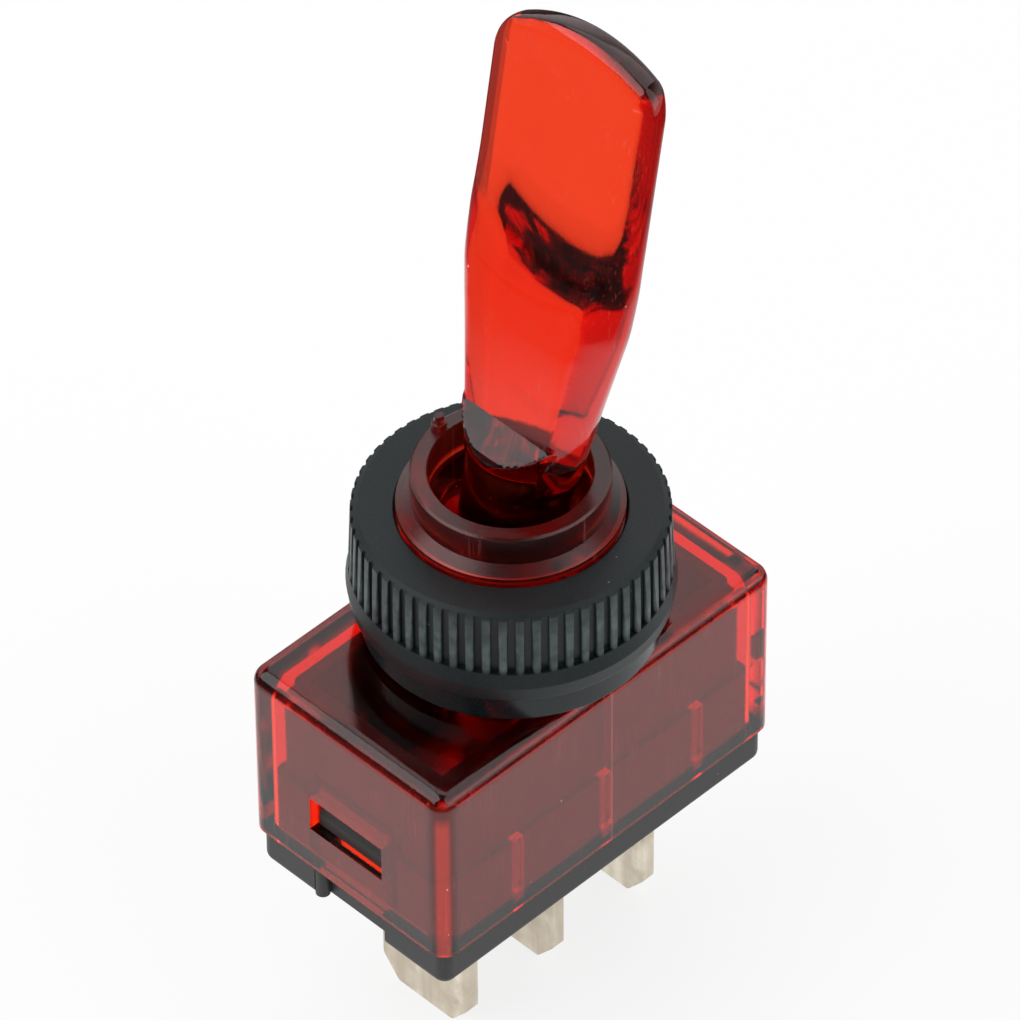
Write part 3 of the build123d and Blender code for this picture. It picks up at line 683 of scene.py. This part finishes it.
def socket_ring(height):
    """Points round the plunger's socket at one height, in the same order as lever_ring's."""
    front, back = [], []
    for step in range(lever_points_across + 1):
        angle = pi * step / lever_points_across
        front.append((-socket_radius * sin(angle), -socket_radius * cos(angle), height))
        back.append((socket_radius * sin(angle), -socket_radius * cos(angle), height))
    return front + back[::-1]


def steps_between(low, high, count):
    """Even steps from low up to high, without high itself."""
    return [low + (high - low) * step / count for step in range(count)]


def lever_heights():
    """Heights of the rings: closer where the shape turns."""
    heights = list(arm_ring_heights)
    for low, high, count in ring_spans:
        heights += steps_between(low, high, count)
    top = crown_centre_height + crown_radius
    shares = [(1 - step / crown_ring_count) ** 2 for step in range(crown_ring_count)]
    return heights + [top - (top - crown_ring_foot) * share for share in shares]


def lever_blank():
    """Mesh of the whole moulding without its trunnions, upright at the pivot."""
    rings = [socket_ring(socket_top), socket_ring(-arm_length)]
    rings += [lever_ring(height) for height in lever_heights()]
    shape = bmesh.new()
    rows = [[shape.verts.new(point) for point in ring] for ring in rings]
    around = len(rows[0])
    for lower, upper in zip(rows, rows[1:]):
        for place in range(around):
            after = (place + 1) % around
            shape.faces.new((lower[place], lower[after], upper[after], upper[place]))
    for row in (rows[0], rows[-1]):
        for place in range(lever_points_across):
            mirror = around - 1 - place
            shape.faces.new((row[place], row[place + 1], row[mirror - 1], row[mirror]))
    bmesh.ops.remove_doubles(shape, verts=shape.verts, dist=merge_distance)
    bmesh.ops.recalc_face_normals(shape, faces=shape.faces)
    mesh = bpy.data.meshes.new("clear_lever")
    shape.to_mesh(mesh)
    shape.free()
    return mesh


def make_lever():
    """The lever with rounded bevels and a dished finger scoop, in place of the plainer CAD lever."""
    lever = bpy.data.objects.new("clear_lever", lever_blank())
    bpy.context.scene.collection.objects.link(lever)
    shape = bmesh.new()
    turn = Matrix.Rotation(radians(90), 4, "X")
    bmesh.ops.create_cone(shape, cap_ends=True, segments=trunnion_segments, radius1=trunnion_radius,
                          radius2=trunnion_radius, depth=2 * trunnion_reach, matrix=turn)
    pins = bpy.data.objects.new("pins", bpy.data.meshes.new("pins"))
    shape.to_mesh(pins.data)
    shape.free()
    bpy.context.scene.collection.objects.link(pins)
    joined = lever.modifiers.new("pins", "BOOLEAN")
    joined.operation = "UNION"
    joined.solver = "EXACT"
    joined.object = pins
    whole = bpy.data.meshes.new_from_object(lever.evaluated_get(bpy.context.evaluated_depsgraph_get()))
    lever.modifiers.clear()
    bpy.data.objects.remove(pins)
    whole.transform(Matrix.Translation((0, 0, pivot_height)) @ Matrix.Rotation(radians(lever_tilt), 4, "Y"))
    whole.shade_smooth()
    whole.set_sharp_from_angle(angle=radians(smooth_angle))
    lever.data = whole
    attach(lever, "lever")
    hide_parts("lever")
    return lever


def squeeze_spring():
    """Give the plunger's spring a mesh of its own."""
    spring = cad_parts["plunger_spring"]
    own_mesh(spring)


def dress(material, *nodes):
    """Give a material to whole nodes."""
    for name in nodes:
        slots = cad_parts[name].material_slots
        for slot in slots:
            slot.material = material


def dress_all():
    """Give every piece its material."""
    lever = clear_red("clear_red_lever", lever_roughness, lever_roughness, lever_grain,
                      lever_painted_shade, none, none, none)
    dress(lever, "lever")
    make_lever().data.materials.append(lever)
    cover = clear_red("clear_red_cover", cover_roughness, bushing_roughness, cover_grain,
                      cover_painted_shade, cover_dulling, seam, painted_cover_glow)
    dress(cover, "housing_cover")
    nut = moulded_black("nut_black", nut_colour, nut_dust_colour, nut_roughness, nut_wear, nut_gloss)
    dress(nut, "knurled_nut")
    base = moulded_black("base_slate", base_colour, base_dust_colour, base_roughness, none, none)
    dress(base, "base")
    for name, looks in metals.items():
        dress(metal(name, *looks), *metal_nodes[name])
    dress(nylon(), "plunger")
    dress(lamp_epoxy(), "lamp_body")
    dress(resistor_lacquer(), "resistor_body")


def make_camera():
    """Camera at the photograph's viewing angle."""
    azimuth = radians(camera_azimuth)
    elevation = radians(camera_elevation)
    roll = radians(camera_roll)
    back = Vector((sin(azimuth) * cos(elevation), -cos(azimuth) * cos(elevation), sin(elevation)))
    level_right = Vector((cos(azimuth), sin(azimuth), 0))
    level_up = back.cross(level_right)
    right = cos(roll) * level_right + sin(roll) * level_up
    up = cos(roll) * level_up - sin(roll) * level_right
    metres_per_pixel = camera_distance / focal_pixels
    across = (image_size / 2 - origin_pixel[0]) * metres_per_pixel
    rise = (origin_pixel[1] - image_size / 2) * metres_per_pixel
    placing = Matrix((right, up, back)).transposed().to_4x4()
    placing.translation = across * right + rise * up + camera_distance * back
    data = bpy.data.cameras.new("camera")
    data.sensor_fit = "HORIZONTAL"
    data.sensor_width = sensor_width
    data.lens = sensor_width * focal_pixels / image_size
    data.clip_start = camera_near
    data.clip_end = camera_far
    camera = bpy.data.objects.new("camera", data)
    camera.matrix_world = placing
    bpy.context.scene.collection.objects.link(camera)
    bpy.context.scene.camera = camera


def mirrored(tree):
    """1 for rays that a surface mirrors, 0 for the rest, those through clear plastic among them."""
    path = add(tree, "LightPath")
    through = sums(tree, "SUBTRACT", 1.0, path.outputs["Is Transmission Ray"])
    return sums(tree, "MULTIPLY", path.outputs["Is Glossy Ray"], through)


def seen_through(tree):
    """1 for rays from the camera, straight or through clear plastic, 0 for the rest."""
    path = add(tree, "LightPath")
    return sums(tree, "MAXIMUM", path.outputs["Is Camera Ray"], path.outputs["Is Transmission Ray"])


def make_floor():
    """Pale floor under the blades' tips, which shows near white and keeps a soft shadow."""
    half = floor_size / 2
    height = cad_box[0].z
    mesh = bpy.data.meshes.new("floor")
    corners = [(-half, -half, height), (half, -half, height), (half, half, height), (-half, half, height)]
    mesh.from_pydata(corners, [], [(0, 1, 2, 3)])
    floor = bpy.data.objects.new("floor", mesh)
    bpy.context.scene.collection.objects.link(floor)
    material, tree, shader = new_material("floor", Roughness=floor_roughness)
    shader.inputs["Specular IOR Level"].default_value = 0.0
    away = add(tree, "VectorMath", {"Vector": object_place(tree)}, operation="LENGTH").outputs["Value"]
    far = sums(tree, "MULTIPLY", mirrored(tree), spread(tree, away, floor_near, floor_far))
    socket_value(tree, shader.inputs["Base Color"], mixed(tree, far, floor_colour, floor_far_colour))
    glow = add(tree, "Emission", {"Color": white, "Strength": 1.0})
    lit = sums(tree, "MAXIMUM", seen_through(tree), sums(tree, "SUBTRACT", mirrored(tree), far))
    share = sums(tree, "MULTIPLY", lit, floor_glow)
    blend = add(tree, "MixShader", {"Fac": share})
    tree.links.new(shader.outputs["BSDF"], blend.inputs[1])
    tree.links.new(glow.outputs["Emission"], blend.inputs[2])
    tree.links.new(blend.outputs["Shader"], tree.nodes["Material Output"].inputs["Surface"])
    mesh.materials.append(material)


def make_world():
    """Plain surroundings: white low down, dimmer overhead, white wherever the camera sees them.

    What the surfaces mirror is dark overhead and dims towards -X.
    """
    world = bpy.data.worlds.new("studio")
    world.use_nodes = True
    tree = world.node_tree
    background = tree.nodes["Background"]
    direction = add(tree, "TexCoord").outputs["Generated"]
    rise = parts_of(tree, direction)["Z"]
    level = spread(tree, rise, *world_rise, world_low, world_high)
    path = add(tree, "LightPath").outputs
    bright = sums(tree, "MAXIMUM", level, path["Is Camera Ray"])
    shown = sums(tree, "MAXIMUM", path["Is Glossy Ray"], path["Is Transmission Ray"])
    studio = spread(tree, rise, *reflected_rise, world_low, reflected_high)
    sideways = parts_of(tree, direction)["X"]
    shaded = spread(tree, sideways, *reflected_turn, reflected_high, 1.0)
    shaded = sums(tree, "MAXIMUM", shaded, path["Is Transmission Ray"])
    studio = sums(tree, "MULTIPLY", studio, shaded)
    blend = add(tree, "Mix", {"Factor": shown, "A": bright, "B": studio}, data_type="FLOAT")
    tree.links.new(blend.outputs["Result"], background.inputs["Strength"])
    background.inputs["Color"].default_value = white
    bpy.context.scene.world = world


def make_lamp(name, azimuth, elevation, power):
    """Soft square lamp that faces the object's middle."""
    a = radians(azimuth)
    e = radians(elevation)
    direction = Vector((sin(a) * cos(e), -cos(a) * cos(e), sin(e)))
    data = bpy.data.lights.new(name, "AREA")
    data.shape = "SQUARE"
    data.size = lamp_size
    data.energy = power
    lamp = bpy.data.objects.new(name, data)
    facing = direction.to_track_quat("Z", "Y").to_matrix().to_4x4()
    lamp.matrix_world = Matrix.Translation(lamp_distance * direction) @ facing
    bpy.context.scene.collection.objects.link(lamp)


dress_all()
squeeze_spring()
make_floor()
make_world()
for lamp in lamps:
    make_lamp(*lamp)
make_camera()
bpy.context.scene.view_settings.view_transform = "Standard"
cycles = bpy.context.scene.cycles
cycles.max_bounces = light_bounces
cycles.glossy_bounces = light_bounces
cycles.transmission_bounces = light_bounces
